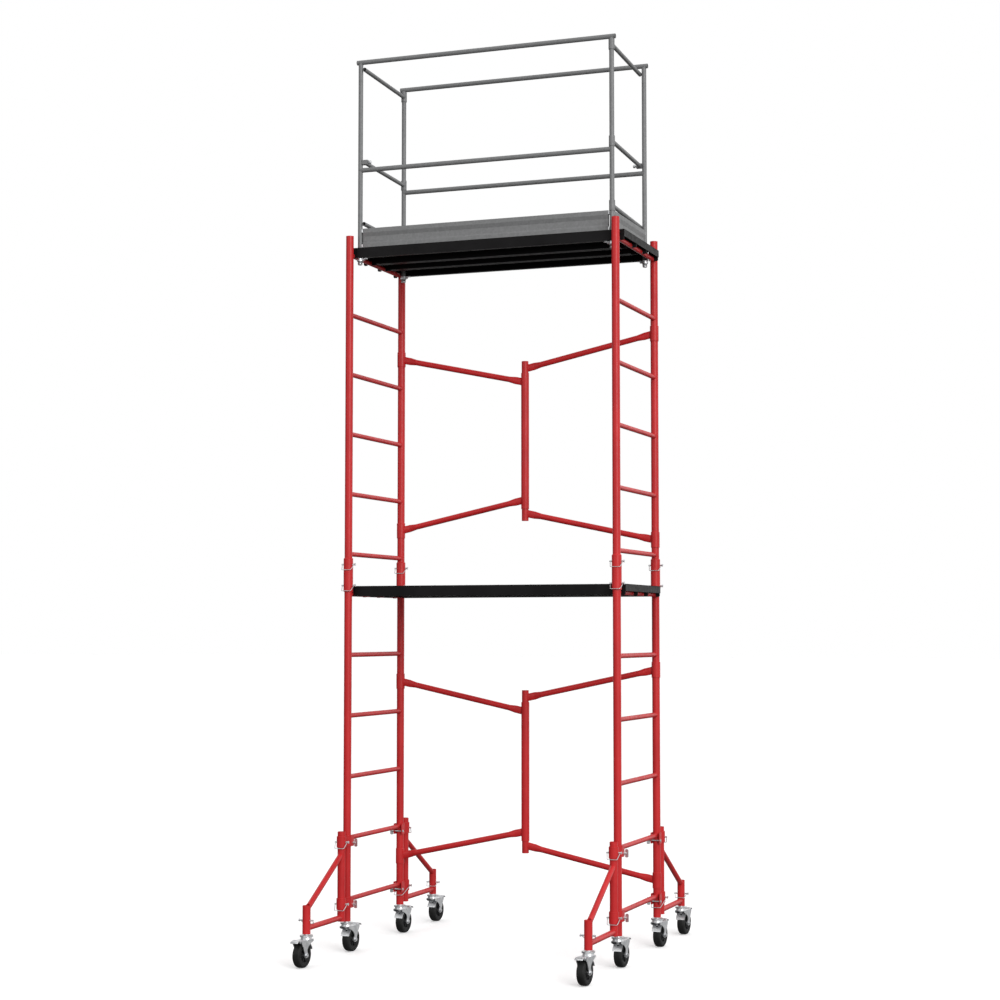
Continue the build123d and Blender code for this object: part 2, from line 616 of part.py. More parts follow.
# The pedal is a bent plate on an eye that turns on the pivot pin.
with BuildPart() as pedal:
    with BuildSketch(Plane.XZ.offset(-PEDAL_WIDTH / 2)):
        with Locations(PEDAL_PIVOT):
            Circle(PEDAL_PIN_OD / 2 + 3.0)
        with BuildLine():
            Polyline(
                (PEDAL_PIVOT[0], PEDAL_PIVOT[1] + 7.0),
                (PEDAL_PIVOT[0] + 0.6 * PEDAL_REACH, PEDAL_PIVOT[1] + 9.0),
                (PEDAL_PIVOT[0] + PEDAL_REACH, PEDAL_PIVOT[1] - 1.0),
                (PEDAL_PIVOT[0] + PEDAL_REACH - 3.0, PEDAL_PIVOT[1] - 1.0 - PEDAL_THICKNESS),
                (PEDAL_PIVOT[0] + 0.6 * PEDAL_REACH - 1.0, PEDAL_PIVOT[1] + 9.0 - PEDAL_THICKNESS),
                (PEDAL_PIVOT[0], PEDAL_PIVOT[1] + 7.0 - PEDAL_THICKNESS),
                close=True,
            )
        make_face()
    extrude(amount=PEDAL_WIDTH)
    with Locations((PEDAL_PIVOT[0], 0, PEDAL_PIVOT[1])):
        Cylinder(
            PEDAL_PIN_OD / 2 + PEDAL_PIN_CLEARANCE, 2 * PEDAL_WIDTH, rotation=(90, 0, 0),
            mode=Mode.SUBTRACT,
        )

CASTERS = {}
for x_name, x in (("left", -HALF_X), ("right", HALF_X)):
    CASTERS[f"front_{x_name}_outer"] = (x, -HALF_Y - OUTRIGGER_REACH, TRAIL_ANGLE + 180.0)
    CASTERS[f"front_{x_name}"] = (x, -HALF_Y, TRAIL_ANGLE)
    CASTERS[f"rear_{x_name}"] = (x, HALF_Y, TRAIL_ANGLE)
    CASTERS[f"rear_{x_name}_outer"] = (x, HALF_Y + OUTRIGGER_REACH, TRAIL_ANGLE)

for name, (x, y, turn) in CASTERS.items():
    place = Location((x, y, 0), (0, 0, turn))
    finish(fork.part.moved(place), f"{name}_fork")
    finish(wheel.part.moved(place), f"{name}_wheel")
    finish(pedal.part.moved(place), f"{name}_pedal")

with BuildPart() as caster_stems:
    for name, (x, y, turn) in CASTERS.items():
        stem = pinned_stem if name.endswith("outer") else caster_stem
        add(stem.part.moved(Location((x, y, 0))))
finish(caster_stems.part, "caster_stems")


# ---------------------------------------------------------------- decks
# Built with the deck's top at z=0.

LEDGER_Z = -DECK_ABOVE_LEDGER
UNDERSIDE = -DECK_DEPTH
HALF_DECK_X = DECK_LENGTH / 2
HALF_DECK_Y = DECK_WIDTH / 2
GUARD_CORNERS = [
    (x, y)
    for x in (-GUARD_HALF_LENGTH, GUARD_HALF_LENGTH)
    for y in (-GUARD_HALF_WIDTH, GUARD_HALF_WIDTH)
]
UNDER_PANEL = -PANEL_THICKNESS - WELD_GAP
RAIL_HALF = HALF_X - RAIL_END
STIFFENER_HALF = HALF_X - 2 * RAIL_END

with BuildPart() as deck_panel:
    Box(DECK_LENGTH, DECK_WIDTH, PANEL_THICKNESS, align=TOP)
    with Locations(*GUARD_CORNERS):
        Cylinder(GUARD_OD / 2 + GUARD_HOLE_CLEARANCE, 4 * PANEL_THICKNESS, mode=Mode.SUBTRACT)


def side_rail(outward):
    """A folded rail: an upright web with a lip turned in along its foot."""
    face = outward * HALF_DECK_Y
    depth = DECK_DEPTH + UNDER_PANEL
    with BuildPart() as rail:
        with Locations((0, face - outward * DECK_SHEET / 2, UNDERSIDE)):
            Box(2 * RAIL_HALF, DECK_SHEET, depth, align=BOTTOM)
        with Locations((0, face - outward * RAIL_LIP / 2, UNDERSIDE)):
            Box(2 * (HALF_X - LIP_END), RAIL_LIP, DECK_SHEET, align=BOTTOM)
    return rail.part


def stiffener(y):
    """A box member under the panel."""
    depth = DECK_DEPTH + UNDER_PANEL
    with BuildPart() as member:
        with BuildSketch(Plane.YZ.offset(-STIFFENER_HALF)):
            with Locations((y, UNDERSIDE + depth / 2)):
                Rectangle(STIFFENER_WIDTH, depth)
                Rectangle(
                    STIFFENER_WIDTH - 2 * DECK_SHEET, depth - 2 * DECK_SHEET, mode=Mode.SUBTRACT
                )
        extrude(amount=2 * STIFFENER_HALF)
    return member.part


def end_flange(outward):
    """The flange that closes a deck's end, outside the ledger."""
    with BuildPart() as flange:
        with Locations((outward * (HALF_DECK_X - DECK_SHEET / 2), 0, UNDER_PANEL)):
            Box(DECK_SHEET, DECK_WIDTH, END_FLANGE_DEPTH + UNDER_PANEL, align=TOP)
    return flange.part


deck_frame = gathered([
    side_rail(-1),
    side_rail(1),
    stiffener(-STIFFENER_OFFSET),
    stiffener(STIFFENER_OFFSET),
    end_flange(-1),
    end_flange(1),
])


def hook(outward, y, start):
    """A plate that drops over the ledger, notched from below."""
    outer = HALF_DECK_X - DECK_SHEET - WELD_GAP
    notch = RUNG_OD / 2 + HOOK_SEAT_CLEARANCE
    tip = LEDGER_Z - HOOK_BELOW
    with BuildPart() as plate:
        with BuildSketch(Plane.XZ.offset(-y - HOOK_PLATE / 2)) as outline:
            with BuildLine():
                Polyline(
                    (start, UNDER_PANEL), (outer, UNDER_PANEL), (outer, tip), (start, tip), close=True
                )
            make_face()
            chamfer(outline.vertices().group_by(Axis.Y)[0], HOOK_TIP_CHAMFER)
            with Locations((HALF_X, LEDGER_Z)):
                Circle(notch, mode=Mode.SUBTRACT)
                Rectangle(
                    2 * notch, 2 * HOOK_BELOW, align=(Align.CENTER, Align.MAX), mode=Mode.SUBTRACT
                )
        extrude(amount=HOOK_PLATE)
    return plate.part if outward > 0 else plate.part.mirror(Plane.YZ)


RAIL_HOOK_Y = HALF_DECK_Y - DECK_SHEET - HOOK_PLATE / 2 - WELD_GAP
RAIL_HOOK_START = GUARD_HALF_LENGTH + GUARD_OD / 2 + 3.0
HOOKS = [(-RAIL_HOOK_Y, RAIL_HOOK_START), (RAIL_HOOK_Y, RAIL_HOOK_START)]
HOOKS += [(y, STIFFENER_HALF + WELD_GAP) for y in (-STIFFENER_OFFSET, STIFFENER_OFFSET)]
deck_hooks = gathered([hook(outward, y, start) for outward in (-1, 1) for y, start in HOOKS])

for tier, top in DECK_TOP.items():
    level = Location((0, 0, top))
    finish(deck_panel.part.moved(level), f"{tier}_deck_panel")
    finish(deck_frame.moved(level), f"{tier}_deck_frame")
    finish(deck_hooks.moved(level), f"{tier}_deck_hooks")


# ---------------------------------------------------------------- guardrail

UPPER_DECK = DECK_TOP["upper"]
GUARD_FOOT = UPPER_DECK - DECK_DEPTH - GUARD_TAIL
MID_RAIL = UPPER_DECK + GUARD_MID_HEIGHT
LATCH_HEIGHT = TOP_RAIL - BAR_DROPS["middle"]
RAIL_REACH = GUARD_HALF_LENGTH + GUARD_OVERHANG

with BuildPart() as front_guardrail:
    y = -GUARD_HALF_WIDTH
    tube((-GUARD_HALF_LENGTH, y, MID_RAIL), (GUARD_HALF_LENGTH, y, MID_RAIL), GUARD_OD, GUARD_WALL)
    for x in (-GUARD_HALF_LENGTH, GUARD_HALF_LENGTH):
        tube((x, y, GUARD_FOOT), (x, y, TOP_RAIL), GUARD_OD + 2 * WELD_GAP, mode=Mode.SUBTRACT)
    for x in (-GUARD_HALF_LENGTH, GUARD_HALF_LENGTH):
        tube((x, y, GUARD_FOOT), (x, y, TOP_RAIL), GUARD_OD, GUARD_WALL)
    tube(
        (-RAIL_REACH, y, TOP_RAIL), (RAIL_REACH, y, TOP_RAIL), GUARD_OD + 2 * WELD_GAP,
        mode=Mode.SUBTRACT,
    )
    tube((-RAIL_REACH, y, TOP_RAIL), (RAIL_REACH, y, TOP_RAIL), GUARD_OD, GUARD_WALL)
    # the latch plunger's hole, in the inner wall of the left post
    with Locations(Location((-GUARD_HALF_LENGTH, y, LATCH_HEIGHT), (0, 0, BAR_ANGLE))):
        Cylinder(
            LATCH_PIN_OD / 2 + LATCH_STRIKE_CLEARANCE, GUARD_OD, rotation=(0, 90, 0), align=BOTTOM,
            mode=Mode.SUBTRACT,
        )
finish(front_guardrail.part, "front_guardrail")
finish(front_guardrail.part.moved(HALF_TURN), "rear_guardrail")


def toe_board(length):
    """A roll-formed toe board along X, its recessed face towards -Y."""
    back = TOE_DEPTH / 2
    recess = -back + TOE_RECESS
    with BuildPart() as board:
        with BuildSketch(Plane.YZ.offset(-length / 2)):
            with BuildLine():
                Polyline(
                    (back, 0), (-back, 0), *[(-back if out else recess, z) for z, out in TOE_BENDS],
                    (-back, TOE_HEIGHT), (back, TOE_HEIGHT), close=True,
                )
            make_face()
            offset(amount=-TOE_WALL, kind=Kind.INTERSECTION, mode=Mode.SUBTRACT)
        extrude(amount=length)
    return board.part


BOARD_CUT = GUARD_OD + 2 * TOE_END_GAP
TOE_BOARDS = {
    0: (2 * GUARD_HALF_LENGTH - BOARD_CUT, (0, -GUARD_HALF_WIDTH)),
    90: (2 * GUARD_HALF_WIDTH - BOARD_CUT, (GUARD_HALF_LENGTH, 0)),
    180: (2 * GUARD_HALF_LENGTH - BOARD_CUT, (0, GUARD_HALF_WIDTH)),
    270: (2 * GUARD_HALF_WIDTH - BOARD_CUT, (-GUARD_HALF_LENGTH, 0)),
}
with BuildPart() as toe_boards:
    for turn, (length, (x, y)) in TOE_BOARDS.items():
        add(toe_board(length).moved(Location((x, y, UPPER_DECK + WELD_GAP), (0, 0, turn))))
finish(toe_boards.part, "toe_boards")

with BuildPart() as foot:
    Cylinder(GUARD_OD / 2, FOOT_HEIGHT, align=TOP)
    fillet(foot.edges().group_by(Axis.Z)[0], FOOT_ROUND)

with BuildPart() as guardrail_fittings:
    # clips between each toe board's ends and the guard posts
    for turn, (length, (x, y)) in TOE_BOARDS.items():
        for end in (-1, 1):
            for height in (TOE_BRACKET_EDGE, TOE_HEIGHT - TOE_BRACKET_EDGE):
                clip_x = end * (length + TOE_END_GAP) / 2
                place = Location((x, y, UPPER_DECK), (0, 0, turn))
                with Locations(place * Location((clip_x, 0, height))):
                    Box(TOE_END_GAP - 2 * WELD_GAP, *TOE_BRACKET)
    # under each corner: a collar with a tab that bears on the deck's lip, a bolt and a round foot
    tab_length, tab_width, tab_thickness = CLAMP_TAB
    ring_top = UPPER_DECK + UNDERSIDE - CLAMP_TAB_GAP
    for x, y in GUARD_CORNERS:
        inboard = -1 if x > 0 else 1
        with Locations((x, y, ring_top)):
            Cylinder(CLAMP_RING_OD / 2, CLAMP_RING_HEIGHT, align=TOP)
        with Locations((x + inboard * tab_length / 2, y, ring_top)):
            Box(tab_length, tab_width, tab_thickness, align=TOP)
        with Locations((x + inboard * tab_length, y, ring_top)):
            Cylinder(tab_width / 2, tab_thickness, align=TOP)
        with Locations((x + inboard * CLAMP_RING_OD / 2, y, ring_top - CLAMP_RING_HEIGHT / 2)):
            Cylinder(CLAMP_SCREW_OD / 2, CLAMP_SCREW_LENGTH, rotation=(0, 90, 0))
        with Locations((x, y, ring_top + WELD_GAP)):
            Cylinder(GUARD_OD / 2 + WELD_GAP, GUARD_TAIL, align=TOP, mode=Mode.SUBTRACT)
        add(foot.part.moved(Location((x, y, GUARD_FOOT - WELD_GAP))))
finish(guardrail_fittings.part, "guardrail_fittings")


# ---------------------------------------------------------------- swing bars and their latches
# Built with the hinge axis at x=0, y=0 and the bar along +Y; the far guard post's axis is then at
# x=BAR_OFFSET. Placed on the front right post, and turned half round for the left end.

LATCH_FACE = BAR_OFFSET - GUARD_OD / 2 - LATCH_BLOCK_GAP
BAR_HINGE = Location((GUARD_HALF_LENGTH, -GUARD_HALF_WIDTH, 0), (0, 0, BAR_ANGLE))


def swing_bar(latched):
    """A bar on a sleeve, with a latch block at its free end where it is latched."""
    bar_end = BAR_POST_DISTANCE + (0 if latched else BAR_PAST_POST)
    with BuildPart() as bar:
        tube((0, 0, 0), (0, bar_end, 0), BAR_OD, BAR_WALL)
        if latched:
            with Locations(((LATCH_FACE - LATCH_BLOCK_BACK) / 2, BAR_POST_DISTANCE, 0)):
                Box(LATCH_FACE + LATCH_BLOCK_BACK, *LATCH_BLOCK)
            fillet(bar.edges().filter_by(Axis.X), LATCH_BLOCK_ROUND)
            with Locations((0, BAR_POST_DISTANCE, 0)):
                Cylinder(
                    LATCH_PIN_OD / 2 + LATCH_PIN_CLEARANCE, 4 * BAR_OD, rotation=(0, 90, 0),
                    mode=Mode.SUBTRACT,
                )
        Cylinder(BAR_SLEEVE_OD / 2, BAR_SLEEVE_LENGTH)
        Cylinder(GUARD_OD / 2 + BAR_SLEEVE_CLEARANCE, BAR_SLEEVE_LENGTH, mode=Mode.SUBTRACT)
    return bar.part


PLUNGER_TIP = BAR_OFFSET - GUARD_OD / 2 + LATCH_ENTRY
KNOB_FACE = -LATCH_BLOCK_BACK - LATCH_STROKE / 2
with BuildPart() as plunger:
    with Locations((PLUNGER_TIP, BAR_POST_DISTANCE, 0)):
        Cylinder(LATCH_PIN_OD / 2, PLUNGER_TIP - KNOB_FACE, rotation=(0, -90, 0), align=BOTTOM)
    with Locations((KNOB_FACE, BAR_POST_DISTANCE, 0)):
        Cylinder(LATCH_KNOB_OD / 2, LATCH_KNOB_LENGTH, rotation=(0, -90, 0), align=BOTTOM)
    fillet(plunger.edges().filter_by(GeomType.CIRCLE).group_by(SortBy.RADIUS)[-1], LATCH_KNOB_ROUND)

for side, turned in (("right", Location()), ("left", HALF_TURN)):
    for level_name, drop in BAR_DROPS.items():
        height = Location((0, 0, TOP_RAIL - drop))
        bar_shape = swing_bar(level_name == "middle")
        finish(bar_shape.moved(turned * height * BAR_HINGE), f"{side}_{level_name}_bar")
    latch_place = turned * Location((0, 0, LATCH_HEIGHT)) * BAR_HINGE
    finish(plunger.part.moved(latch_place), f"{side}_latch")
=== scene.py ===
import json
from math import cos, pi, radians, sin, sqrt

import bmesh
import bpy
from mathutils import Matrix, Vector


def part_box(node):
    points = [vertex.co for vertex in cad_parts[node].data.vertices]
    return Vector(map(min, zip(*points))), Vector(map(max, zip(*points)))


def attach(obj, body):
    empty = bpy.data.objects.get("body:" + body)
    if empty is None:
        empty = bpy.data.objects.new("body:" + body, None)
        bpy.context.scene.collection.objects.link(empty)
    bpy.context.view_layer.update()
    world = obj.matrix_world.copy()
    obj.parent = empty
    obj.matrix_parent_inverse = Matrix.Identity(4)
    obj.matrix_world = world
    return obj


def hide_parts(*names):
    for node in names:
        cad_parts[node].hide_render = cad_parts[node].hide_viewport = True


# A rolling ladder-frame tower dressed for display: finishes, welds, rivets and rubber-tyred wheels.
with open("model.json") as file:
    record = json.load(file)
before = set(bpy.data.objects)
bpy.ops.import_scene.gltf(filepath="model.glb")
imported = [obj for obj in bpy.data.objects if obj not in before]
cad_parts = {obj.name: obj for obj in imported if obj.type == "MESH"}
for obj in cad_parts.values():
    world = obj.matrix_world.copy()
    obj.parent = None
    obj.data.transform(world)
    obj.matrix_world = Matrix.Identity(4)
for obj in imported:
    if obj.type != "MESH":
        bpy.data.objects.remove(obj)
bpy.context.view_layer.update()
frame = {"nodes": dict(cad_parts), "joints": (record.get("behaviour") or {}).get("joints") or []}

# ------------------------------------------------------------------ sizes, in metres
POST_RADIUS = 0.02065
RUNG_RADIUS = 0.0127
RUNG_HEIGHTS = [0.112 + 0.3227 * step for step in range(5)] + [1.727]
OUTRIGGER_TUBE_RADIUS = 0.0143
OUTRIGGER_OFFSET = 0.070
OUTRIGGER_REACH = 0.487
OUTRIGGER_BRACE_Z = 0.191
DIAGONAL_ENDS = (0.521, 0.283)
GUARD_RADIUS = 0.0127
GUARD_X = 0.714
GUARD_Y = 0.300
GUARD_RAIL_Z = (4.785, 4.190)
BAR_RADIUS = 0.0111
BAR_SLEEVE_RADIUS = 0.0159
BAR_LEAN = radians(2.36)
BAR_DROPS = {"top": 0.042, "middle": 0.553, "lower": 0.8915}
ARM_SECTION = (0.0205, 0.0085)
ARM_ENDS = {"left": (1.2467, 0.2694), "right": (1.3210, 0.1945)}
ARM_RISE = 0.160
CENTRE_RADIUS = {"left": 0.02225, "right": 0.01905}
HINGE_RADIUS = 0.0238
WELD_RADIUS = 0.0017
WELD_RIPPLE = 0.14
WELD_PITCH = 0.0027
WELD_STEPS = 112

PEDAL_HALF_WIDTH = 0.022

RIVET_RADIUS = 0.0042
RIVET_HEIGHT = 0.0016
RIVET_PITCH = 0.178
RIVET_EDGE = 0.013  # from the deck's long edges
STIFFENER_Y = 0.095

# ------------------------------------------------------------------ finishes


def start_finish(name):
    """A new material with its node tree and its main shader."""
    made = bpy.data.materials.new(name)
    made.use_nodes = True
    return made, made.node_tree, made.node_tree.nodes["Principled BSDF"]


def step(tree, kind, **settings):
    """Adds one node. A setting is an input's value where the node has such an input."""
    made = tree.nodes.new(kind)
    for key, value in settings.items():
        socket = made.inputs.get(key.replace("_", " "))
        if socket is None:
            setattr(made, key, value)
        else:
            socket.default_value = value
    return made


def grain(tree, scale, detail=2.0, stretch=None):
    """A noise on the object's own coordinates, drawn out along an axis where stretch is given."""
    place = step(tree, "ShaderNodeTexCoord").outputs["Object"]
    if stretch:
        turned = step(tree, "ShaderNodeMapping", Scale=stretch)
        tree.links.new(place, turned.inputs["Vector"])
        place = turned.outputs["Vector"]
    made = step(tree, "ShaderNodeTexNoise", Scale=scale, Detail=detail)
    tree.links.new(place, made.inputs["Vector"])
    return made.outputs["Fac"]


def two_tones(tree, amount, low, high, between=(0.36, 0.64)):
    ramp = step(tree, "ShaderNodeValToRGB")
    for end, tone, at in zip(ramp.color_ramp.elements, (low, high), between):
        end.position = at
        end.color = (*tone, 1.0)
    tree.links.new(amount, ramp.inputs["Fac"])
    return ramp.outputs["Color"]


def spread(tree, amount, low, high):
    made = step(tree, "ShaderNodeMapRange", From_Min=0.3, From_Max=0.7, To_Min=low, To_Max=high)
    tree.links.new(amount, made.inputs["Value"])
    return made.outputs["Result"]


def relief(tree, height, strength, depth, under=None):
    made = step(tree, "ShaderNodeBump", Strength=strength, Distance=depth)
    tree.links.new(height, made.inputs["Height"])
    if under:
        tree.links.new(under, made.inputs["Normal"])
    return made.outputs["Normal"]


def powder_coat(name, deep, bright, gloss, shine):
    """Baked paint: a slow drift of tone, an uneven gloss and the fine ripple of orange peel."""
    made, tree, skin = start_finish(name)
    skin.inputs["Specular IOR Level"].default_value = shine
    tone = two_tones(tree, grain(tree, 5.0, 4.0), deep, bright)
    tree.links.new(tone, skin.inputs["Base Color"])
    rough = spread(tree, grain(tree, 38.0), gloss - 0.05, gloss + 0.07)
    tree.links.new(rough, skin.inputs["Roughness"])
    ripple = relief(tree, grain(tree, 330.0, 1.0), 0.16, 0.0006)
    fine = relief(tree, grain(tree, 1500.0, 0.0), 0.05, 0.0002, ripple)
    tree.links.new(fine, skin.inputs["Normal"])
    return made


def galvanised(name, deep, bright):
    """Hot-dip zinc gone dull: crystals of slightly different tone under a fine grain."""
    made, tree, skin = start_finish(name)
    skin.inputs["Metallic"].default_value = 0.15
    skin.inputs["Specular IOR Level"].default_value = 0.25
    place = step(tree, "ShaderNodeTexCoord").outputs["Object"]
    crystals = step(tree, "ShaderNodeTexVoronoi", Scale=95.0)
    tree.links.new(place, crystals.inputs["Vector"])
    shade = step(tree, "ShaderNodeRGBToBW")
    tree.links.new(crystals.outputs["Color"], shade.inputs["Color"])
    tone = two_tones(tree, shade.outputs["Val"], deep, bright, (0.1, 0.9))
    tree.links.new(tone, skin.inputs["Base Color"])
    tree.links.new(spread(tree, grain(tree, 60.0, 3.0), 0.42, 0.58), skin.inputs["Roughness"])
    tree.links.new(relief(tree, grain(tree, 700.0, 2.0), 0.12, 0.0003), skin.inputs["Normal"])
    return made


def bright_zinc(name):
    """Barrel-plated steel: bright, faintly mottled, with a drawn grain."""
    made, tree, skin = start_finish(name)
    skin.inputs["Metallic"].default_value = 0.85
    tone = two_tones(tree, grain(tree, 45.0, 3.0), (0.60, 0.61, 0.63), (0.78, 0.79, 0.80))
    tree.links.new(tone, skin.inputs["Base Color"])
    rough = spread(tree, grain(tree, 160.0, 2.0, (1.0, 1.0, 0.2)), 0.26, 0.42)
    tree.links.new(rough, skin.inputs["Roughness"])
    tree.links.new(relief(tree, grain(tree, 420.0, 2.0), 0.10, 0.0003), skin.inputs["Normal"])
    return made


def moulded(name, deep, bright, rough, texture, strength, shine):
    """Moulded rubber or plastic with the spark-eroded grain of its mould."""
    made, tree, skin = start_finish(name)
    skin.inputs["Specular IOR Level"].default_value = shine
    tone = two_tones(tree, grain(tree, 26.0, 4.0), deep, bright)
    tree.links.new(tone, skin.inputs["Base Color"])
    uneven = spread(tree, grain(tree, 70.0, 3.0), rough - 0.06, rough + 0.06)
    tree.links.new(uneven, skin.inputs["Roughness"])
    tree.links.new(relief(tree, grain(tree, texture, 2.0), strength, 0.0004), skin.inputs["Normal"])
    return made


def grip_board(name):
    """Film-faced deck board: black, with a small raised wire-mesh pattern for grip."""
    made, tree, skin = start_finish(name)
    skin.inputs["Specular IOR Level"].default_value = 0.07
    place = step(tree, "ShaderNodeTexCoord").outputs["Object"]
    cells = step(
        tree, "ShaderNodeTexVoronoi", Scale=210.0, feature="DISTANCE_TO_EDGE", Randomness=0.0
    )
    tree.links.new(place, cells.inputs["Vector"])
    mesh_lines = step(
        tree, "ShaderNodeMapRange", From_Min=0.02, From_Max=0.16, To_Min=1.0, To_Max=0.0
    )
    tree.links.new(cells.outputs["Distance"], mesh_lines.inputs["Value"])
    tone = two_tones(tree, grain(tree, 4.0, 5.0), (0.010, 0.009, 0.009), (0.020, 0.018, 0.017))
    tree.links.new(tone, skin.inputs["Base Color"])
    tree.links.new(spread(tree, grain(tree, 18.0, 3.0), 0.58, 0.70), skin.inputs["Roughness"])
    raised = relief(tree, mesh_lines.outputs["Result"], 0.35, 0.0006)
    tree.links.new(raised, skin.inputs["Normal"])
    return made


red_paint = powder_coat("red_powder_coat", (0.50, 0.018, 0.020), (0.58, 0.023, 0.025), 0.36, 0.28)
black_paint = powder_coat(
    "black_powder_coat", (0.0070, 0.0065, 0.0068), (0.0110, 0.0105, 0.0110), 0.45, 0.09
)
guard_zinc = galvanised("dull_galvanising", (0.190, 0.192, 0.194), (0.222, 0.224, 0.226))
plated = bright_zinc("bright_zinc_plate")
tyre_rubber = moulded(
    "tyre_rubber", (0.010, 0.010, 0.010), (0.017, 0.017, 0.017), 0.60, 900.0, 0.25, 0.25
)
hub_plastic = moulded(
    "hub_plastic", (0.006, 0.006, 0.007), (0.011, 0.011, 0.012), 0.40, 600.0, 0.12, 0.30
)
deck_board = grip_board("grip_board")

PLATED_NODES = ("coupling_lock_pins", "outrigger_fasteners", "caster_stems", "guardrail_fittings")


def finish_of(name):
    if name in PLATED_NODES or name.endswith(("fork", "pedal", "latch")):
        return plated
    if name.endswith("deck_panel"):
        return deck_board
    if "deck" in name:
        return black_paint
    if name.endswith(("guardrail", "bar", "boards")):
        return guard_zinc
    return red_paint


for name, node in frame["nodes"].items():
    node.data.materials.clear()
    node.data.materials.append(finish_of(name))

# ------------------------------------------------------------------ making pieces


def show(name, mesh, *finishes):
    made = bpy.data.objects.new(name, mesh)
    bpy.context.scene.collection.objects.link(made)
    for finish in finishes:
        mesh.materials.append(finish)
    return made


def bake_tree(source, name, body):
    """Turns an object with a live node tree into a plain mesh piece that rides on a body."""
    seen = source.evaluated_get(bpy.context.evaluated_depsgraph_get())
    mesh = bpy.data.meshes.new_from_object(seen)
    mesh.name = name
    bpy.data.objects.remove(source)
    piece = bpy.data.objects.new(name, mesh)
    bpy.context.scene.collection.objects.link(piece)
    for face in mesh.polygons:
        face.use_smooth = True
    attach(piece, body)
    return piece


def new_tree(name, sizes):
    """An empty geometry tree with a geometry in and out, and a named input for each size."""
    tree = bpy.data.node_groups.new(name, "GeometryNodeTree")
    tree.interface.new_socket("Geometry", in_out="INPUT", socket_type="NodeSocketGeometry")
    for size in sizes:
        tree.interface.new_socket(size, in_out="INPUT", socket_type="NodeSocketFloat")
    tree.interface.new_socket("Geometry", in_out="OUTPUT", socket_type="NodeSocketGeometry")
    return tree, tree.nodes.new("NodeGroupInput"), tree.nodes.new("NodeGroupOutput")


def use_tree(thing, tree, sizes):
    run = thing.modifiers.new(tree.name, "NODES")
    run.node_group = tree
    for item in tree.interface.items_tree:
        if item.in_out == "INPUT" and item.name in sizes:
            run[item.identifier] = sizes[item.name]


# ------------------------------------------------------------------ weld beads


def weld_tree(finish):
    """Sweeps a rippled bead along every seam."""
    sizes = ("Bead Radius", "Ripple", "Ripple Pitch")
    tree, given, result = new_tree("weld_bead_" + finish.name, sizes)
    link = tree.links.new
    along = tree.nodes.new("GeometryNodeSplineParameter")
    turns = step(tree, "ShaderNodeMath", operation="DIVIDE")
    link(along.outputs["Length"], turns.inputs[0])
    link(given.outputs["Ripple Pitch"], turns.inputs[1])
    angle = step(tree, "ShaderNodeMath", operation="MULTIPLY")
    angle.inputs[1].default_value = 2 * pi
    link(turns.outputs[0], angle.inputs[0])
    wave = step(tree, "ShaderNodeMath", operation="SINE")
    link(angle.outputs[0], wave.inputs[0])
    swell = step(tree, "ShaderNodeMath", operation="MULTIPLY_ADD")
    swell.inputs[2].default_value = 1.0
    link(wave.outputs[0], swell.inputs[0])
    link(given.outputs["Ripple"], swell.inputs[1])
    thick = tree.nodes.new("GeometryNodeSetCurveRadius")
    link(given.outputs["Geometry"], thick.inputs["Curve"])
    link(swell.outputs[0], thick.inputs["Radius"])
    ring = step(tree, "GeometryNodeCurvePrimitiveCircle", Resolution=7)
    link(given.outputs["Bead Radius"], ring.inputs["Radius"])
    bead = tree.nodes.new("GeometryNodeCurveToMesh")
    link(thick.outputs["Curve"], bead.inputs["Curve"])
    link(ring.outputs["Curve"], bead.inputs["Profile Curve"])
    whole = tree.nodes.new("GeometryNodeRealizeInstances")
    link(bead.outputs["Mesh"], whole.inputs["Geometry"])
    coat = step(tree, "GeometryNodeSetMaterial", Material=finish)
    link(whole.outputs["Geometry"], coat.inputs["Geometry"])
    link(coat.outputs["Geometry"], result.inputs["Geometry"])
    return tree


def seam(branch_at, along, section, main_at, main_along, main_radius):
    """The closed line where a branch tube of that section meets a main tube."""
    along, main_along = Vector(along).normalized(), Vector(main_along).normalized()
    up = main_along - along * main_along.dot(along)
    up.normalize()
    aside = along.cross(up)
    tall, wide = section if isinstance(section, tuple) else (section, section)
    line = []
    for place in range(WELD_STEPS):
        turn = 2 * pi * place / WELD_STEPS
        start = Vector(branch_at) + up * tall * cos(turn) + aside * wide * sin(turn)
        offset = start - Vector(main_at)
        offset -= main_along * offset.dot(main_along)
        across = along - main_along * along.dot(main_along)
        a, b = across.dot(across), offset.dot(across)
        inside = max(b * b - a * (offset.dot(offset) - main_radius**2), 0.0)
        line.append(start + along * (-b + sqrt(inside)) / a)
    return line


def weld(name, body, tree, seams):
    """One piece for all the welds of a body."""
    line = bpy.data.curves.new(name, "CURVE")
    line.dimensions = "3D"
    for points in seams:
        path = line.splines.new("POLY")
        path.points.add(len(points) - 1)
        path.use_cyclic_u = True
        for point, place in zip(path.points, points):
            point.co = (*place, 1.0)
    source = bpy.data.objects.new(name + "_seams", line)
    bpy.context.scene.collection.objects.link(source)
    sizes = {"Bead Radius": WELD_RADIUS, "Ripple": WELD_RIPPLE, "Ripple Pitch": WELD_PITCH}
    use_tree(source, tree, sizes)
    return bake_tree(source, name, body)


UP = (0, 0, 1)
SIDES = {"left": -1, "right": 1}
red_bead = weld_tree(red_paint)
grey_bead = weld_tree(guard_zinc)

